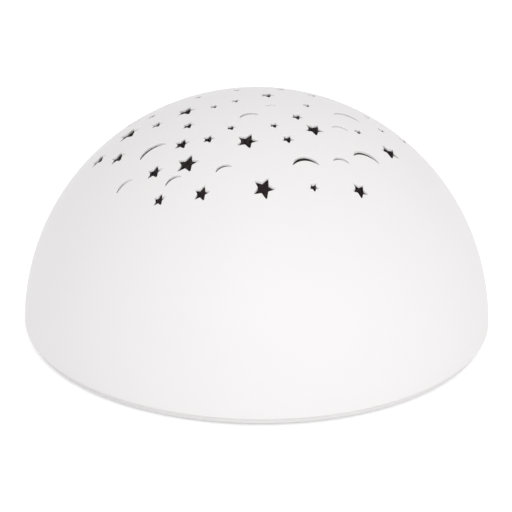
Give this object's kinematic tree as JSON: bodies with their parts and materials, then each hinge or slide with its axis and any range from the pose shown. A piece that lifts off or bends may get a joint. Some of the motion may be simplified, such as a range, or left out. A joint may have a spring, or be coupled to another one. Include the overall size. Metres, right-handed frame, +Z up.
{
  "type": "star night light projector",
  "caption": "White half dome night light with star and moon cut-outs over a battery base with a power slider and a mode button underneath.",
  "frame": {"origin": "on the floor under the middle of the dome, at the underside of the rubber feet", "axes": "+Z up along the dome's middle line, -Y towards the front, +X to the right seen from the front"},
  "size_m": [0.16, 0.16, 0.0823],
  "materials": {
    "white_abs": "satin moulded",
    "base_abs": "satin moulded",
    "deck_plastic": "fine matt moulded",
    "grey_control": "fine matt moulded",
    "switch_black": "matt moulded",
    "rubber_foot": "matt silicone rubber",
    "steel_screw": "zinc plated",
    "spring_steel": "nickel plated",
    "board_green": "solder mask",
    "board_white": "white solder mask",
    "chip_black": "moulded epoxy",
    "capacitor_sleeve": "shrunk sleeve",
    "resistor_black": "glazed ceramic",
    "connector_white": "moulded nylon",
    "red_lead": "soft sleeve",
    "black_lead": "soft sleeve",
    "grey_ribbon": "soft sleeve",
    "diode_body": "moulded, with clear resin",
    "lens_frost": "frosted",
    "cell_sleeve": "printed film over steel"
  },
  "bodies": {
    "housing": {"dome_shell": "white_abs", "base_plate": "base_abs", "rubber_feet": "rubber_foot", "dome_screws": "steel_screw", "contact_springs": "spring_steel", "control_board": "board_green", "control_board_screws": "steel_screw", "tact_switch": "switch_black", "slide_switch": "spring_steel", "controller_chip": "chip_black", "capacitor": "capacitor_sleeve", "chip_resistors": "resistor_black", "board_sockets": "connector_white", "wire_plugs": "connector_white", "positive_lead": "red_lead", "negative_lead": "black_lead", "led_ribbon": "grey_ribbon", "light_deck": "deck_plastic", "deck_screws": "steel_screw", "lamp_board": "board_white", "lamp_board_screws": "steel_screw", "colour_diodes": "diode_body", "white_diode": "diode_body", "lamp_lens": "lens_frost", "battery_cell_1": "cell_sleeve", "battery_cell_2": "cell_sleeve", "battery_cell_3": "cell_sleeve", "negative_contact": "spring_steel", "left_bridge_contact": "spring_steel", "right_bridge_contact": "spring_steel", "positive_contact": "spring_steel"},
    "door": {"battery_door": "base_abs"},
    "retainer": {"screw_retainer": "steel_screw"},
    "door_screw": {"battery_door_screw": "steel_screw"},
    "slider": {"power_slider": "grey_control"},
    "lever": {"switch_lever": "switch_black"},
    "button": {"mode_button": "grey_control"},
    "plunger": {"tact_plunger": "switch_black"}
  },
  "joints": [
    {"name": "door_hinge", "type": "hinge", "parent": "housing", "child": "door", "pos_m": [0, -0.0337, 0.001], "axis": [-1, 0, 0], "range_deg": [0, 70]},
    {"name": "door_screw_travel", "type": "slide", "parent": "door", "child": "retainer", "axis": [0, 0, -1], "range_m": [0, 0.003]},
    {"name": "door_screw_turn", "type": "hinge", "parent": "retainer", "child": "door_screw", "pos_m": [0, 0.0189, 0], "axis": [0, 0, -1], "range_deg": [0, 1080]},
    {"name": "power_slide", "type": "slide", "parent": "housing", "child": "slider", "axis": [1, 0, 0], "range_m": [0, 0.002]},
    {"name": "lever_slide", "type": "slide", "parent": "housing", "child": "lever", "axis": [1, 0, 0], "range_m": [0, 0.002]},
    {"name": "button_press", "type": "slide", "parent": "housing", "child": "button", "axis": [0, 0, 1], "range_m": [0, 0.0005], "stiffness_N_per_m": 2000},
    {"name": "plunger_press", "type": "slide", "parent": "housing", "child": "plunger", "axis": [0, 0, 1], "range_m": [0, 0.0005]}
  ],
  "couplings": [
    {"joint": "door_screw_turn", "follows": "door_screw_travel", "rad_per_m": 6283.2},
    {"joint": "lever_slide", "follows": "power_slide", "ratio": 1},
    {"joint": "plunger_press", "follows": "button_press", "ratio": 1}
  ]
}
